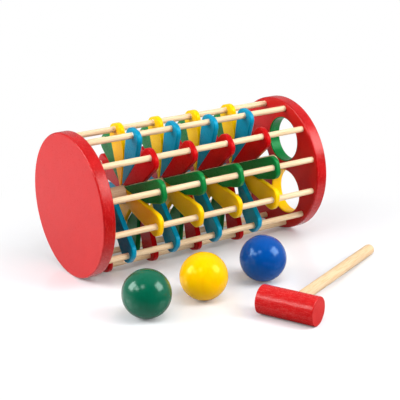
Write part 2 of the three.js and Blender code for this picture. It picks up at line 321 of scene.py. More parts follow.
@dataclass(frozen=True)
class BallLacquer(Finish):
    """Thick glossy lacquer sprayed on a turned ball: sharp highlights, orange peel, and soft growth rings.

    Attributes:
        deep: The same lacquer where it lies thicker, sRGB hex.
        sheen_tint: Colour of the film's mirror reflection, sRGB hex.
        peel: Size of the orange peel in mm.
        ring: Length and width in mm of a growth ring that shows through the film.
        deep_share: From the rings to the share of the deep tone.
    """

    colour: str
    deep: str
    sheen_tint: str = "#ffffff"
    roughness: float = 0.19
    peel: float = 1.8
    ring: Point2 = (22.0, 2.6)
    deep_share: Span = (0.35, 0.7, 0.0, 0.6)

    def shader(self, tree: NodeTree) -> Node:
        """Adds the lacquer's nodes to a tree and returns its shader."""
        peel = stretched_noise(tree, self.peel, self.peel, Grain.ALONG_DRUM, Detail=2.0)
        rings = stretched_noise(tree, *self.ring, Grain.UPRIGHT, Detail=3.0, Distortion=0.5)
        share = add_node(tree, "MapRange", dict(zip(RANGE, self.deep_share)), Value=rings)
        tones = {"data_type": "RGBA", "A_Color": linear(self.colour), "B_Color": linear(self.deep)}
        tone = add_node(tree, "Mix", tones, Factor=share)
        ringed = add_node(tree, "Bump", {"Strength": 0.3, "Distance": 0.04 * MM}, Height=rings)
        depth = {"Strength": 0.25, "Distance": 0.015 * MM}
        skin = add_node(tree, "Bump", depth, Height=peel, Normal=ringed)
        cured = {"IOR": PAINT_IOR, "Roughness": self.roughness, "Specular Tint": linear(self.sheen_tint)}
        return add_node(tree, "BsdfPrincipled", cured, Base_Color=(tone, "Result_Color"), Normal=skin)


@dataclass(frozen=True)
class WhiteGlue(Finish):
    """Dried wood glue that squeezed out at a joint: milky white, smooth, slightly glossy beads.

    Attributes:
        lump: Size in mm of the dents that drying leaves.
    """

    name: str = "dried_white_wood_glue"
    colour: str = "#f4f2ea"
    lump: float = 0.8

    def shader(self, tree: NodeTree) -> Node:
        """Adds the glue's nodes to a tree and returns its shader."""
        lumps = stretched_noise(tree, self.lump, self.lump, Grain.ALONG_DRUM, Detail=2.0)
        relief = add_node(tree, "Bump", {"Strength": 0.4, "Distance": 0.1 * MM}, Height=lumps)
        dry = {"IOR": 1.48, "Roughness": 0.3, "Base Color": linear(self.colour)}
        return add_node(tree, "BsdfPrincipled", dry, Normal=relief)


@dataclass(frozen=True)
class FloorSheet(Finish):
    """A glossy white acrylic sheet, which fades to plain white away from the toy.

    Polished pieces mirror it bright at the back of the set and dim towards the photographer's dark side,
    and it lights the toy from below only as much as a lit sheet of its size would.

    Attributes:
        tone: Colour of the lit sheet round the toy, sRGB hex.
        bounce: Colour with which it lights the toy from below, sRGB hex.
        dark: Colour that polished pieces mirror on the room's dark side, sRGB hex.
        glow: Light of its own that brings it close to white.
        fade: Distances in metres from the middle between which it turns to plain white.
        dark_front: Places in metres along Y between which its mirrored colour turns from dark to lit.
    """

    name: str = "white_acrylic_sheet_floor"
    tone: str = "#eaebee"
    bounce: str = "#cacaca"
    dark: str = "#202020"
    glow: float = 0.1
    roughness: float = 0.12
    fade: Point2 = (0.15, 0.36)
    dark_front: Point2 = (-0.16, 0.06)

    def shader(self, tree: NodeTree) -> Node:
        """Adds the sheet's nodes to a tree and returns its shader."""
        rays = add_node(tree, "LightPath")
        place = add_node(tree, "TexCoord")
        away = add_node(tree, "VectorMath", {"operation": "LENGTH"}, Vector=(place, "Object"))
        split = add_node(tree, "SeparateXYZ", Vector=(place, "Object"))
        sheet = {"Roughness": self.roughness, "IOR": 1.49}
        seen, bounce, dark = (
            add_node(tree, "BsdfPrincipled", {"Base Color": linear(tone), **sheet})
            for tone in (self.tone, self.bounce, self.dark)
        )
        glow, white = (
            add_node(tree, "Emission", {"Color": WHITE, "Strength": strength})
            for strength in (self.glow, 1.0)
        )
        lit = add_node(tree, "AddShader", Shader=seen, Shader_001=glow)
        smooth = {"interpolation_type": "SMOOTHSTEP"}
        far = add_node(tree, "MapRange", smooth | dict(zip(RANGE, self.fade)), Value=(away, "Value"))
        back = add_node(tree, "MapRange", smooth | dict(zip(RANGE, self.dark_front)), Value=(split, "Y"))
        # A mix shows its first shader where Fac is 0 and its second where it is 1
        faded = add_node(tree, "MixShader", Fac=far, Shader=lit, Shader_001=white)
        mirrored = add_node(tree, "MixShader", Fac=back, Shader=dark, Shader_001=lit)
        by_gloss, by_camera = (rays, "Is Glossy Ray"), (rays, "Is Camera Ray")
        unseen = add_node(tree, "MixShader", Fac=by_gloss, Shader=bounce, Shader_001=mirrored)
        return add_node(tree, "MixShader", Fac=by_camera, Shader=unseen, Shader_001=faded)


class Palette:
    """All finishes of the toy, each built once."""

    def __init__(self) -> None:
        """Builds every material."""
        self.disc_red = WoodPaint(
            "brushed_red_paint_on_disc", "#c60a0d", "#ce1413", 0.33, 16.0, 1.9, 0.13, sheen_tint="#ffaca6"
        ).material()
        # Brushed round the rim over end grain, so the bumps break its highlight into short flecks. The
        # rim's red is darker than the face's, painted shade, and the pale flecks in its colour are painted
        # highlights
        self.rim_red = WoodPaint(
            "brushed_red_paint_on_disc_rim", "#b00408", "#d01216", 0.21, 7.0, 1.5, 0.4,
            sheen_tint="#ffd0cc", glint_tone="#de3c38", glint_share=0.45,
        ).material()
        # Pale flecks painted into the head's red along its streaks are painted highlights
        self.head_red = WoodPaint(
            "dipped_red_paint_on_hammer_head", "#c00c10", "#d01818", 0.22, 7.0, 1.0, 0.2,
            Grain.HAMMER_HEAD, "#ffe4e0", glint_tone="#ee6a64", glint_share=0.3,
        ).material()
        # The head's flat ends take a paler, pinker, rougher copy of its red, which paints the sheen they
        # show, with painted highlight flecks
        self.head_end_red = WoodPaint(
            "dipped_red_paint_on_hammer_head_end", "#c8181a", "#d83a38", 0.42, 1.6, 0.7, 0.16,
            Grain.HAMMER_HEAD, "#ffe4e0", glint_tone="#ee7a74", glint_share=0.4,
        ).material()
        self.rod_wood = BareBirch("sanded_birch_rod").material()
        self.handle_wood = BareBirch(
            "sanded_birch_handle", "#e4c7a1", "#d4ae80", Grain.HAMMER_HANDLE, 0.55
        ).material()
        self.glue = WhiteGlue().material()
        # Colour, second tone and mirror tint of each paint
        tread_colours = {
            Paint.YELLOW: ("#fcc600", "#fed00a", "#ffd23c"),
            Paint.BLUE: ("#0089ae", "#0496ba", "#5cc4ea"),
            Paint.RED: ("#b4040a", "#c40c12", "#ff4a40"),
            Paint.GREEN: ("#067032", "#0c803c", "#6adc92"),
        }
        self.treads = {
            paint: WoodPaint(
                f"dipped_{paint.value}_paint_on_tread", *tones, 0.3, 10.0, 0.9, 0.04, sheen_tint=tint
            ).material()
            for paint, (*tones, tint) in tread_colours.items()
        }
        ball_colours = {
            Paint.GREEN: ("#005f45", "#00553c", "#e4fff4"),
            Paint.YELLOW: ("#ffc600", "#feb900", "#ffe45a"),
            Paint.BLUE: ("#004b9e", "#004492", "#b0dcff"),
        }
        self.balls = {
            paint: BallLacquer(f"glossy_{paint.value}_lacquer_on_ball", *tones).material()
            for paint, tones in ball_colours.items()
        }


# Mesh helpers
def finish_piece(
    name: str,
    shape: BMesh,
    materials: list[Material],
    body: str,
    slot: str,
    *nodes: str,
) -> None:
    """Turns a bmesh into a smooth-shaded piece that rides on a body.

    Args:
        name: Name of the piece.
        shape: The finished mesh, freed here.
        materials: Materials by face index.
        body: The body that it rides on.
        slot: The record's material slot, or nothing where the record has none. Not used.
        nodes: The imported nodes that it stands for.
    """
    bmesh.ops.remove_doubles(shape, verts=shape.verts, dist=WELD_DISTANCE)
    bmesh.ops.recalc_face_normals(shape, faces=shape.faces)
    mesh = bpy.data.meshes.new(name)
    shape.to_mesh(mesh)
    shape.free()
    for material in materials:
        mesh.materials.append(material)
    mesh.polygons.foreach_set("use_smooth", [True] * len(mesh.polygons))
    mesh.set_sharp_from_angle(angle=SHARP_ANGLE)
    piece = bpy.data.objects.new(name, mesh)
    bpy.context.scene.collection.objects.link(piece)
    shading = piece.modifiers.new("flat_faces_stay_flat", "WEIGHTED_NORMAL")
    shading.keep_sharp = True
    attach(piece, body)
    if nodes:
        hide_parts(*nodes)
    LOG.info("%s: %d faces on %s", name, len(mesh.polygons), body)


def arc(centre: Point2, radius: float, start: float, sweep: float, steps: int) -> Loop:
    """Returns the points of an arc.

    Args:
        centre: The arc's centre.
        radius: Its radius.
        start: Angle of its first point.
        sweep: Angle from its first point to its last.
        steps: Number of segments.

    Returns:
        The points, with both ends.
    """
    angles = [start + sweep * k / steps for k in range(steps + 1)]
    return [(centre[0] + radius * math.cos(a), centre[1] + radius * math.sin(a)) for a in angles]


def circle(centre: Point2, radius: float, sides: int, clockwise: bool = False) -> Loop:
    """Returns the points of a circle round a centre."""
    return arc(centre, radius, 0, -FULL_TURN if clockwise else FULL_TURN, sides)[:-1]


def turned(profile: Loop, sides: int) -> BMesh:
    """Turns a profile of along and radius about X.

    Args:
        profile: Points from one end to the other, with zero radius at closed ends.
        sides: Number of segments round the axis.

    Returns:
        The turned mesh, in the profile's units.
    """
    shape = bmesh.new()
    rings = []
    for along, radius in profile:
        places = circle((0, 0), radius, sides) if radius > ON_AXIS else [(0, 0)]
        rings.append([shape.verts.new((along, *place)) for place in places])
    for low, high in zip(rings, rings[1:]):
        for k in range(sides):
            after = (k + 1) % sides
            ends = ((low, k), (low, after), (high, after), (high, k))
            unique = list(dict.fromkeys(ring[place % len(ring)] for ring, place in ends))
            if len(unique) > 2:
                shape.faces.new(unique)
    return shape


def moved_left(loop: Loop, distance: float) -> Loop:
    """Moves each point of a closed loop to the left of its travel, which is into the material."""
    moved = []
    count = len(loop)
    for index, point in enumerate(loop):
        before = Vector(point) - Vector(loop[index - 1])
        after = Vector(loop[(index + 1) % count]) - Vector(point)
        normal = (before.normalized() + after.normalized()).orthogonal().normalized()
        # At a sharp corner the point moves further, up to twice the distance
        lengthen = 1 / max(0.5, normal.dot(after.normalized().orthogonal()))
        moved.append(tuple(Vector(point) + normal * distance * lengthen))
    return moved


@dataclass
class PlateLoop:
    """An edge loop of a plate, its rounding, and how far it shifts along X per unit of height."""

    points: Loop
    rounding: float
    shear: float = 0.0


def rounded_plate(loops: list[PlateLoop], thickness: float) -> BMesh:
    """Builds a plate with rounded edges from an outline and its holes.

    Args:
        loops: The outline, counter-clockwise, then the holes, clockwise.
        thickness: Thickness of the plate, along its Z and centred on it.

    Returns:
        The plate's mesh, in the loops' units.
    """
    shape = bmesh.new()
    half = thickness / 2
    caps = {1: [], -1: []}
    for loop in loops:
        edge = (loop.rounding, half - loop.rounding)
        levels = arc(edge, loop.rounding, QUARTER_TURN, QUARTER_TURN, EDGE_STEPS)
        levels += [(inset, -height) for inset, height in reversed(levels)]
        rings = []
        for inset, height in levels:
            inner = moved_left(loop.points, inset)
            rings.append([shape.verts.new((x + loop.shear * height, y, height)) for x, y in inner])
        count = len(loop.points)
        for low, high in zip(rings, rings[1:]):
            for k in range(count):
                after = (k + 1) % count
                shape.faces.new((low[k], low[after], high[after], high[k]))
        for side, ring in ((1, rings[0]), (-1, rings[-1])):
            caps[side] += [shape.edges.get((ring[k], ring[(k + 1) % count])) for k in range(count)]
    for edges in caps.values():
        bmesh.ops.triangle_fill(shape, use_beauty=True, edges=edges)
    return shape


# The drum
def drum_frame() -> Matrix:
    """Returns the matrix from the drum frame's millimetres to metres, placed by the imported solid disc."""
    low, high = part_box("solid_end_disc")
    origin = Vector((low.x, (low.y + high.y) / 2, (low.z + high.z) / 2))
    return Matrix.Translation(origin) @ Matrix.Scale(MM, 4)


@dataclass
class DrumSizes:
    """Sizes in mm that several of the drum's pieces share, the same as the model's."""

    length: float = 261.6
    disc_radius: float = 71.0
    disc_thickness: float = 12.8
    rod_radius: float = 3.0
    rod_circle: float = 64.5
    rod_count: int = 12
    rod_phase: float = math.radians(17)
    rods_to_front: int = 3
    post_radius: float = 9.0
    seat_gap: float = 0.3

    @property
    def left_face(self) -> float:
        """Inner face of the solid disc."""
        return self.disc_thickness

    @property
    def right_face(self) -> float:
        """Inner face of the holed disc."""
        return self.length - self.disc_thickness

    def rod_angle(self, index: int) -> float:
        """Angle of a rod, from the front upward, in radians."""
        return self.rod_phase + (self.rods_to_front - index) * FULL_TURN / self.rod_count

    def ring_place(self, radius: float, angle: float) -> Point2:
        """Y and Z of a place on a circle round the axis."""
        return (-radius * math.cos(angle), radius * math.sin(angle))

    def rod_node(self, index: int) -> str:
        """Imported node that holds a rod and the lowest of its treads."""
        return f"rod_{index + 1:02d}_with_{Paint.on_rod(index).value}_tread"


@dataclass
class DrumPart:
    """A part of the drum, with the drum's frame, its sizes and the finishes. Its own sizes are in mm."""

    frame: Matrix
    sizes: DrumSizes
    palette: Palette


@dataclass
class EndDiscs(DrumPart):
    """The two thick end discs: one solid, one with three ball holes whose bores are painted.

    Attributes:
        rim_tilt: Square of a normal's Z, lying flat, below which a face takes the rim's painted shade.
        bore_tilt: The same for the paint of a bore.
        bore_paint: Share of the holes' edge rounding that the paint of a bore covers.
    """

    edge_round: float = 1.6
    hole_radius: float = 22.75
    hole_circle: float = 32.5
    hole_round: float = 1.0
    hole_phase: float = math.radians(65.6)
    hole_paints: tuple[Paint, ...] = (Paint.GREEN, Paint.YELLOW, Paint.BLUE)
    rim_tilt: float = 0.8
    bore_tilt: float = 0.97
    bore_paint: float = 0.9
    sides: int = 192
    hole_sides: int = 96

    def hole_centres(self) -> list[Point2]:
        """Y and Z of each ball hole."""
        step = FULL_TURN / len(self.hole_paints)
        angles = [self.hole_phase - step * k for k in range(len(self.hole_paints))]
        return [self.sizes.ring_place(self.hole_circle, angle) for angle in angles]

    def paint_edges(self, shape: BMesh, centres: list[Point2]) -> None:
        """Gives the rim of a disc that still lies flat the second material, and its bores those after it.

        Args:
            shape: The disc.
            centres: Y and Z of its ball holes.
        """
        shape.normal_update()
        rim = self.sizes.disc_radius - self.edge_round
        bore = self.hole_radius + self.hole_round * self.bore_paint
        for face in shape.faces:
            middle, tilt = face.calc_center_median().xy, face.normal.z**2
            if math.hypot(*middle) > rim and tilt < self.rim_tilt:
                face.material_index = 1
            for number, centre in enumerate(centres):
                if math.dist(middle, centre) < bore and tilt < self.bore_tilt:
                    face.material_index = number + 2

    def build_disc(self, kind: str, centres: list[Point2], left_edge: float) -> None:
        """Builds one disc.

        Args:
            kind: What its names call it.
            centres: Y and Z of its ball holes.
            left_edge: Where it begins along the drum.
        """
        loops = [PlateLoop(circle((0, 0), self.sizes.disc_radius, self.sides), self.edge_round)]
        for centre in centres:
            bore = circle(centre, self.hole_radius, self.hole_sides, clockwise=True)
            loops.append(PlateLoop(bore, self.hole_round))
        shape = rounded_plate(loops, self.sizes.disc_thickness)
        self.paint_edges(shape, centres)
        # Drawn in Y and Z with its thickness along Z, the plate turns to stand across the drum
        middle = left_edge + self.sizes.disc_thickness / 2
        stand = Matrix(((0, 0, 1, middle), (1, 0, 0, 0), (0, 1, 0, 0), (0, 0, 0, 1)))
        shape.transform(self.frame @ stand)
        bore_paints = [self.palette.treads[paint] for paint in self.hole_paints[: len(centres)]]
        paints = [self.palette.disc_red, self.palette.rim_red, *bore_paints]
        finish_piece(f"red_{kind}_end_disc", shape, paints, DRUM_BODY, "red_paint", f"{kind}_end_disc")

    def build(self) -> None:
        """Builds both discs."""
        self.build_disc("solid", [], 0)
        self.build_disc("holed", self.hole_centres(), self.sizes.right_face)


@dataclass
class PostAndRods(DrumPart):
    """The turned centre post and the ring of plain rods that join the discs.

    Attributes:
        waver: How much sanding takes off at most.
        waver_rates: How fast that changes along and round a stick, per mm.
        end_seat: How far a rod reaches into each disc.
    """

    post_sides: int = 64
    rod_sides: int = 40
    sections: int = 24
    waver: float = 0.06
    waver_rates: Point2 = (0.04, 0.3)
    chamfer: float = 0.12
    end_seat: float = 7.7
    post_seed: float = 40.0

    def build_stick(
        self, name: str, node: str, radius: float, seat: float, sides: int, seed: float, place: Point2
    ) -> None:
        """Builds a stick along the drum with the slight waver of a machined and sanded dowel.

        Args:
            name: Name of the piece.
            node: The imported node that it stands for.
            radius: Radius of the stick.
            seat: How far it reaches into each disc.
            sides: Segments round it.
            seed: Makes its waver its own.
            place: Its Y and Z.
        """
        low, high = self.sizes.left_face - seat, self.sizes.right_face + seat
        chamfer = radius * self.chamfer
        steps = range(1, self.sections)
        body = [(low + (high - low) * k / self.sections, radius) for k in steps]
        profile = [(low, 0.0), (low, radius - chamfer), (low + chamfer, radius), *body]
        profile += [(high - chamfer, radius), (high, radius - chamfer), (high, 0.0)]
        shape = turned(profile, sides)
        along, around = self.waver_rates
        for vert in shape.verts:
            spot = Vector((vert.co.x * along, vert.co.y * around, vert.co.z * around))
            keep = 1 - self.waver * abs(noise.noise(spot + Vector((seed, 0, 0)))) / radius
            vert.co.y *= keep
            vert.co.z *= keep
        shape.transform(self.frame @ Matrix.Translation((0, *place)))
        finish_piece(name, shape, [self.palette.rod_wood], DRUM_BODY, "natural_wood", node)

    def build(self) -> None:
        """Builds the post, then the rods."""
        sizes = self.sizes
        post = (sizes.post_radius, 0.0, self.post_sides, self.post_seed, (0.0, 0.0))
        self.build_stick("birch_centre_post", "centre_post", *post)
        for index in range(sizes.rod_count):
            place = sizes.ring_place(sizes.rod_circle, sizes.rod_angle(index))
            rod = (sizes.rod_radius, self.end_seat, self.rod_sides, float(index), place)
            self.build_stick(f"birch_rod_{index + 1:02d}", sizes.rod_node(index), *rod)


@dataclass
class Stair(DrumPart):
    """The stair of 48 hand-set treads, four on each rod, and the glue that holds them.

    Across a tread, its upper side is the side towards the rod above it.

    Attributes:
        start_shares: Each rod's shift of its first tread, in pitches.
        spacing_shares: Each rod's spacing of its treads, in pitches.
        steps_under_whole: How many rods on a whole tread has to clear.
        glue_film: Share of a bead's size that is there all round the rod.
        glue_swell: Least and greatest height of its one drop, as a share of that size.
        drop_spread: How far round the rod the drop spreads, in radians squared.
    """

    turns: int = 4
    thickness: float = 5.5
    width: float = 24.0
    inner_width: float = 16.0
    # The taper ends where a corner of 7 mm would begin, and sanding leaves the tip rounder than that
    corner_round: float = 7.0
    tip_round: float = 9.2
    rim_margin: float = 0.5
    edge_round: float = 1.3
    # From the solid disc to the first tread, and from the last one to the holed disc
    start: float = 51.2
    landing: float = 48.3
    post_slack: float = 0.06
    bore_slack: float = 0.08
    bore_round: float = 0.35
    bore_sides: int = 36
    arc_steps: int = 10
    start_shares: Floats = (0, 0.01, 0.04, 0.01, -0.09, -0.58, -0.835, -0.88, -0.905, 0.26, 0.17, 0.09)
    spacing_shares: Floats = (0.975, 0.97, 0.965, 0.98, 1.005, 1.085, 1.14, 1.13, 1.08, 1, 1, 1)
    lean_degrees: Floats = (1, 1, 4, 4, 0, -5, 0, 0, 1, 0, 1, 0)
    steps_under_whole: int = 3
    glue_seed: int = 7
    glue_sides: int = 28
    glue_steps: int = 4
    glue_reach: float = 0.75
    glue_film: float = 0.35
    glue_swell: Point2 = (0.5, 1.3)
    drop_spread: float = 0.18
    glue_flat: float = 0.9
    # How deep a bead starts inside the tread and inside the rod
    glue_sink: float = 0.25
    glue_overlap: float = 0.05

    @property
    def taper(self) -> float:
        """Angle between a tread's edge and its middle line."""
        round_start = self.sizes.disc_radius - self.rim_margin - self.corner_round
        return math.atan2((self.width - self.inner_width) / 2, round_start - self.sizes.post_radius)

    @property
    def half_at_axis(self) -> float:
        """Half the width that a tread would have on the drum's axis."""
        return self.inner_width / 2 - self.sizes.post_radius * math.tan(self.taper)

    def lean(self, index: int) -> float:
        """How far a rod's treads lean with their roots towards the solid disc, in radians."""
        return math.radians(self.lean_degrees[index])

    def low_face(self, index: int, turn: int) -> float:
        """Where a tread's face towards the solid disc meets its rod."""
        clear = self.sizes.right_face - self.sizes.left_face
        pitch = (clear - self.start - self.landing) / (self.turns - 1)
        steps = self.start_shares[index] + self.spacing_shares[index] * turn
        return self.sizes.left_face + self.start + pitch * steps

    def span(self, index: int, turn: int) -> Point2:
        """Lowest and highest place along the drum that a tread reaches between its rod and the post."""
        at_rod = self.low_face(index, turn)
        at_post = at_rod - (self.sizes.rod_circle - self.sizes.post_radius) * math.tan(self.lean(index))
        return min(at_rod, at_post), max(at_rod, at_post) + self.thickness / math.cos(self.lean(index))

    def is_whole(self, index: int, turn: int) -> bool:
        """Tells whether the treads of the next rods stand clear of a tread, so that it isn't cut back."""
        low, high = self.span(index, turn)
        gap = self.sizes.seat_gap
        for step in range(1, self.steps_under_whole + 1):
            for other in range(self.turns):
                next_low, next_high = self.span((index + step) % self.sizes.rod_count, other)
                if next_low < high + gap and low < next_high + gap:
                    return False
        return True

    def outline(self, lean: float, whole: bool) -> Loop:
        """Draws a tread's outline.

        Args:
            lean: Lean of the tread in radians.
            whole: Whether its lower edge mirrors its upper one, or is cut back along the next rod's treads.

        Returns:
            The outline, with X along the tread from the rod's centre and Y downward across it.
        """
        lift = self.thickness / 2 * abs(math.sin(lean))
        post = self.sizes.post_radius + self.post_slack + lift
        tip = self.sizes.disc_radius - self.rim_margin - lift
        origin = Vector((0.0, 0.0))
        far, half = tip - self.corner_round, self.width / 2
        upper = (Vector((0.0, self.half_at_axis)), Vector((far, half)))
        lower = (Vector((0.0, -self.half_at_axis)), Vector((far, -half)))
        side = [tuple(intersect_line_sphere_2d(*upper, origin, post, False)[0])]
        # The sanded corners of the tip stay inside the sawn outline
        slack = (half - self.half_at_axis) * (self.tip_round - self.corner_round) / far
        inner, middle = tip - self.tip_round, half - slack - self.tip_round
        side += arc((inner, middle), self.tip_round, QUARTER_TURN, -QUARTER_TURN, self.arc_steps)
        side += arc((inner, -middle), self.tip_round, 0, -QUARTER_TURN, self.arc_steps)
        root_edge = lower
        if not whole:
            turn_back = Matrix.Rotation(-FULL_TURN / self.sizes.rod_count, 2)
            next_upper = tuple(turn_back @ (point + Vector((0.0, self.sizes.seat_gap))) for point in upper)
            meeting = intersect_line_line(*(point.to_3d() for point in (*lower, *next_upper)))[0]
            side.append(tuple(meeting.xy))
            root_edge = next_upper
        hits = intersect_line_sphere_2d(*root_edge, origin, post, False)
        side.append(tuple(max((hit for hit in hits if hit), key=lambda hit: hit.x)))
        first, last = (math.atan2(point[1], point[0]) for point in (side[0], side[-1]))
        side += arc((0, 0), post, last, first - last, self.arc_steps)[1:-1]
        return [((x - self.sizes.rod_circle) / math.cos(lean), -y) for x, y in side]

    def blade(self, index: int, whole: bool) -> BMesh:
        """Builds one leaning tread round its rod, with the rod's bore drilled along the drum."""
        lean = self.lean(index)
        bore_radius = (self.sizes.rod_radius + self.bore_slack) / math.cos(lean)
        bore = circle((0, 0), bore_radius, self.bore_sides, clockwise=True)
        edge = PlateLoop(self.outline(lean, whole), self.edge_round)
        hole = PlateLoop(bore, self.bore_round, math.tan(lean))
        shape = rounded_plate([edge, hole], self.thickness)
        stand = Matrix(((0, 0, 1, 0), (-1, 0, 0, 0), (0, -1, 0, 0), (0, 0, 0, 1)))
        shape.transform(Matrix.Rotation(lean, 4, "Z") @ stand)
        return shape

    def place(self, index: int, turn: int) -> Matrix:
        """Returns the matrix that puts a front-standing tread on its rod.

        Args:
            index: The rod's place round the drum.
            turn: Which of the rod's treads it is, from the solid disc.

        Returns:
            The matrix, into the model's frame.
        """
        along = self.low_face(index, turn) + self.thickness / 2 / math.cos(self.lean(index))
        about = Matrix.Rotation(-self.sizes.rod_angle(index), 4, "X")
        return self.frame @ about @ Matrix.Translation((along, -self.sizes.rod_circle, 0))

    def build_glue(self, index: int, turn: int, draw: random.Random) -> None:
        """Builds the beads of glue that squeezed out on both faces of a tread, as one piece.

        Args:
            index: The rod's place round the drum.
            turn: Which of the rod's treads they belong to.
            draw: Source of the beads' uneven sizes.
        """
        shape = bmesh.new()
        rod = self.sizes.rod_radius
        slope = math.tan(self.lean(index))
        half = self.thickness / 2 / math.cos(self.lean(index))
        for side in (-1, 1):
            drop = draw.uniform(0, FULL_TURN)
            swell = draw.uniform(*self.glue_swell)
            rings = []
            for k in range(self.glue_sides):
                angle = FULL_TURN * k / self.glue_sides
                apart = (angle - drop + math.pi) % FULL_TURN - math.pi
                lump = math.exp(-(apart**2) / self.drop_spread) * swell
                reach = self.glue_reach * (self.glue_film + lump)
                section = []
                for step in range(self.glue_steps + 1):
                    bend = QUARTER_TURN * step / self.glue_steps
                    out = rod + reach * (1 - math.sin(bend)) * self.glue_flat
                    section.append((out, out, reach * (1 - math.cos(bend)) - self.glue_sink))
                section.append((rod, rod - self.glue_overlap, -self.glue_sink))
                ring = []
                for at_face, out, forward in section:
                    # The tread's face leans, so its distance along the rod changes round the rod
                    base = side * half - slope * at_face * math.cos(angle)
                    radial = Vector((0, math.cos(angle), math.sin(angle))) * out
                    ring.append(shape.verts.new(Vector((base + side * forward, 0, 0)) + radial))
                rings.append(ring)
            for here, after in zip(rings, [*rings[1:], rings[0]]):
                for a in range(len(here)):
                    b = (a + 1) % len(here)
                    shape.faces.new((here[a], here[b], after[b], after[a]))
        shape.transform(self.place(index, turn))
        name = f"glue_beads_rod_{index + 1:02d}_turn_{turn + 1}"
        finish_piece(name, shape, [self.palette.glue], DRUM_BODY, "")

    def build_tread(self, index: int, turn: int) -> None:
        """Builds one tread on its rod.

        Args:
            index: The rod's place round the drum.
            turn: Which of the rod's treads it is, from the solid disc.
        """
        paint = Paint.on_rod(index)
        shape = self.blade(index, self.is_whole(index, turn))
        shape.transform(self.place(index, turn))
        spot = f"rod_{index + 1:02d}_turn_{turn + 1}"
        name = f"{paint.value}_tread_on_{spot}"
        node = f"{paint.value}_tread_{spot}" if turn else self.sizes.rod_node(index)
        slot = f"{paint.value}_tread_paint"
        finish_piece(name, shape, [self.palette.treads[paint]], DRUM_BODY, slot, node)

    def build(self) -> None:
        """Builds every tread, each followed by its glue."""
        draw = random.Random(self.glue_seed)
        for index in range(self.sizes.rod_count):
            for turn in range(self.turns):
                self.build_tread(index, turn)
                self.build_glue(index, turn, draw)


# The loose pieces
@dataclass
class LooseBall:
    """A turned and lacquered ball, with the small flats that the lathe's centres leave.

    Attributes:
        lie_degrees: Turn about the upright and tilt of its lathe axis, as it came to lie.
    """

    paint: Paint
    palette: Palette
    pole_flat: float = 1.1
    rings: int = 72
    sides: int = 112
    lie_degrees: Point2 = (35.0, 20.0)

    def build(self) -> None:
        """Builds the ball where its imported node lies."""
        node = f"{self.paint.value}_ball"
        low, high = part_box(node)
        centre, radius = (low + high) / 2, (high.z - low.z) / 2
        flat = math.asin(self.pole_flat * MM / radius)
        skin = arc((0, 0), radius, math.pi - flat, 2 * flat - math.pi, self.rings)
        profile = [(skin[0][0], 0.0), *skin, (skin[-1][0], 0.0)]
        shape = turned(profile, self.sides)
        turn, tilt = (math.radians(angle) for angle in self.lie_degrees)
        lie = Matrix.Rotation(turn, 4, "Z") @ Matrix.Rotation(tilt, 4, "Y")
        shape.transform(Matrix.Translation(centre) @ lie)
        name = f"{self.paint.value}_wooden_ball"
        finish_piece(name, shape, [self.palette.balls[self.paint]], node, f"{node}_lacquer", node)


@dataclass
class Hammer:
    """The small hammer: a turned head, and a straight dowel handle that leans down to the floor.

    Attributes:
        end_facing: How squarely a face looks along the head to take the paint of its ends.
        reach: From the head's axis to the handle's end in mm.
    """

    palette: Palette
    head_radius: float = 13.5
    head_length: float = 56.5
    head_round: float = 1.0
    end_facing: float = 0.9
    handle_radius: float = 5.5
    handle_seat: float = 2.5
    handle_sections: int = 24
    cap_steps: int = 10
    reach: float = 184.5
    sides: int = 96

    def place(self) -> Matrix:
        """Returns the matrix from the hammer's own millimetres to the model's frame."""
        low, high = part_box("hammer_head")
        turn = Matrix.Rotation(HAMMER_YAW, 4, "Z")
        return Matrix.Translation((low + high) / 2) @ turn @ Matrix.Scale(MM, 4)

    def build_head(self) -> None:
        """Builds the head."""
        end, corner = self.head_length / 2, self.head_round
        centre = (end - corner, self.head_radius - corner)
        edge = arc(centre, corner, 0, QUARTER_TURN, EDGE_STEPS)
        mirrored = [(-along, radius) for along, radius in edge]
        profile = [(-end, 0.0), *mirrored, *reversed(edge), (end, 0.0)]
        head = turned(profile, self.sides)
        head.normal_update()
        for face in head.faces:
            if abs(face.normal.x) > self.end_facing:
                face.material_index = 1
        head.transform(self.place())
        reds = [self.palette.head_red, self.palette.head_end_red]
        finish_piece("red_hammer_head", head, reds, "hammer", "red_lacquer", "hammer_head")

    def build_handle(self) -> None:
        """Builds the handle."""
        inner = self.head_radius - self.handle_seat
        shoulder = self.reach - self.handle_radius
        length, sections = shoulder - inner, self.handle_sections
        radius = self.handle_radius
        side = [(inner + length * k / sections, radius) for k in range(sections)]
        cap = arc((shoulder, 0), radius, QUARTER_TURN, -QUARTER_TURN, self.cap_steps)
        profile = [(inner, 0.0), *side, *cap]
        handle = turned(profile, self.sides)
        drop = math.asin((self.head_radius - radius) / shoulder)
        lean = Matrix.Rotation(-drop, 4, "X") @ Matrix.Rotation(QUARTER_TURN, 4, "Z")
        handle.transform(self.place() @ lean)
        wood = [self.palette.handle_wood]
        finish_piece("birch_hammer_handle", handle, wood, "hammer", "natural_wood", "hammer_handle")

    def build(self) -> None:
        """Builds the head, then the handle."""
        self.build_head()
        self.build_handle()


# Camera, lamps and floor
@dataclass(frozen=True)
class Viewpoint:
    """The camera at the photograph's viewing angle."""

    place: Point3 = (-0.587888, -0.825097, 0.417624)
    right: Point3 = (0.829978, -0.557771, -0.005301)
    up: Point3 = (0.183540, 0.264115, 0.946867)
    lens: float = 100.3353
    sensor: float = 36.0
    clip: Point2 = (0.01, 50.0)

    def build(self) -> None:
        """Makes the camera and sets it as the scene's."""
        data = bpy.data.cameras.new("camera")
        data.lens = self.lens
        data.sensor_width = self.sensor
        data.clip_start, data.clip_end = self.clip
        camera = bpy.data.objects.new("camera", data)
        right, up = Vector(self.right), Vector(self.up)
        turn = Matrix((right, up, right.cross(up))).transposed().to_4x4()
        camera.matrix_world = Matrix.Translation(self.place) @ turn
        bpy.context.scene.collection.objects.link(camera)
        bpy.context.scene.camera = camera


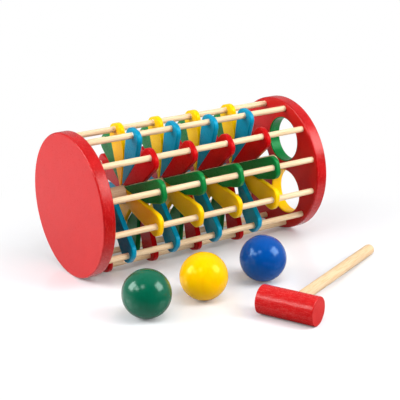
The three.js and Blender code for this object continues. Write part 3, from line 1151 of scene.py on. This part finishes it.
@dataclass(frozen=True)
class Softbox:
    """A rectangular studio lamp that points at the toy, in metres and watts."""

    name: str
    towards: Point3
    distance: float
    width: float
    height: float
    power: float
    mirrored: bool = True

    def build(self, target: Vector) -> None:
        """Makes the lamp, aimed at a target."""
        data = bpy.data.lights.new(self.name, "AREA")
        data.shape = "RECTANGLE"
        data.size, data.size_y = self.width, self.height
        data.energy = self.power
        lamp = bpy.data.objects.new(self.name, data)
        out = Vector(self.towards).normalized()
        lamp.location = target + out * self.distance
        lamp.visible_glossy = self.mirrored
        lamp.rotation_mode = "QUATERNION"
        lamp.rotation_quaternion = (-out).to_track_quat("-Z", "Y")
        bpy.context.scene.collection.objects.link(lamp)


@dataclass
class Studio:
    """White floor, white surround and soft lamps.

    Attributes:
        back_gloss: Brightness of the room's back, as polished pieces mirror it.
        front_gloss: The same for its dark side.
        dark_side: Direction to the dark side of the room, behind the photographer.
        dark_turn: How far a direction leans that way where the dark side begins, and where it is full.
    """

    lamps: tuple[Softbox, ...] = (
        Softbox("left_softbox", (-0.78, 0.38, 0.47), 1.3, 0.62, 0.65, 12.0),
        Softbox("right_softbox", (0.55, -0.60, 0.57), 1.3, 0.74, 0.72, 13.5),
        Softbox("left_wall_glow", (-0.84, -0.05, 0.55), 1.6, 0.5, 0.34, 4.0),
        Softbox("small_front_lamp", (-0.57, -0.335, 0.74), 1.4, 0.36, 0.36, 2.2),
        Softbox("overhead_fill", (0.05, -0.35, 0.93), 1.6, 1.1, 0.8, 11.0, False),
        Softbox("low_front_fill", (0.34, -0.9, 0.26), 1.3, 0.7, 0.4, 3.0, False),
    )
    aim: Point3 = (0.0, 0.0, 0.05)
    floor_reach: float = 6.0
    surround: float = 0.17
    back_gloss: float = 0.5
    front_gloss: float = 0.04
    dark_side: Point3 = (-0.53, -0.79, 0.32)
    dark_turn: Point2 = (0.05, 0.75)

    def build_world(self) -> None:
        """White behind the toy and in what it mirrors, dimmer towards the dark side of the room."""
        world = bpy.data.worlds.new("white_surround")
        bpy.context.scene.world = world
        world.use_nodes = True
        tree = world.node_tree
        tree.nodes.clear()
        rays = add_node(tree, "LightPath")
        place = add_node(tree, "TexCoord")
        dot = {"operation": "DOT_PRODUCT", "Vector_001": self.dark_side}
        side = add_node(tree, "VectorMath", dot, Vector=(place, "Generated"))
        span = dict(zip(RANGE, (*self.dark_turn, self.back_gloss, self.front_gloss)))
        dim = add_node(tree, "MapRange", span, Value=(side, "Value"))
        lit, seen = (
            add_node(tree, "Background", {"Color": WHITE, "Strength": strength})
            for strength in (self.surround, 1.0)
        )
        mirrored = add_node(tree, "Background", {"Color": WHITE}, Strength=dim)
        gloss = add_node(tree, "MixShader", Fac=(rays, "Is Glossy Ray"), Shader=lit, Shader_001=mirrored)
        clear = {"Value": (rays, "Is Camera Ray"), "Value_001": (rays, "Is Transmission Ray")}
        either = add_node(tree, "Math", {"operation": "MAXIMUM"}, **clear)
        shown = add_node(tree, "MixShader", Fac=either, Shader=gloss, Shader_001=seen)
        add_node(tree, "OutputWorld", Surface=shown)

    def build_floor(self) -> None:
        """Makes the floor, which takes the toy's soft shadow and a faint reflection."""
        shape = bmesh.new()
        bmesh.ops.create_grid(shape, x_segments=1, y_segments=1, size=self.floor_reach)
        mesh = bpy.data.meshes.new("studio_floor")
        shape.to_mesh(mesh)
        shape.free()
        mesh.materials.append(FloorSheet().material())
        floor = bpy.data.objects.new("studio_floor", mesh)
        bpy.context.scene.collection.objects.link(floor)

    def build(self) -> None:
        """Makes the floor, the surround and the lamps."""
        self.build_world()
        self.build_floor()
        for lamp in self.lamps:
            lamp.build(Vector(self.aim))
        bpy.context.scene.view_settings.view_transform = "Standard"


def main() -> None:
    """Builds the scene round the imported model."""
    logging.basicConfig(level=logging.INFO, format="%(message)s")
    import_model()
    Viewpoint().build()
    palette = Palette()
    frame = drum_frame()
    sizes = DrumSizes()
    EndDiscs(frame, sizes, palette).build()
    PostAndRods(frame, sizes, palette).build()
    Stair(frame, sizes, palette).build()
    for paint in (Paint.GREEN, Paint.YELLOW, Paint.BLUE):
        LooseBall(paint, palette).build()
    Hammer(palette).build()
    Studio().build()


if __name__ == "__main__":
    main()
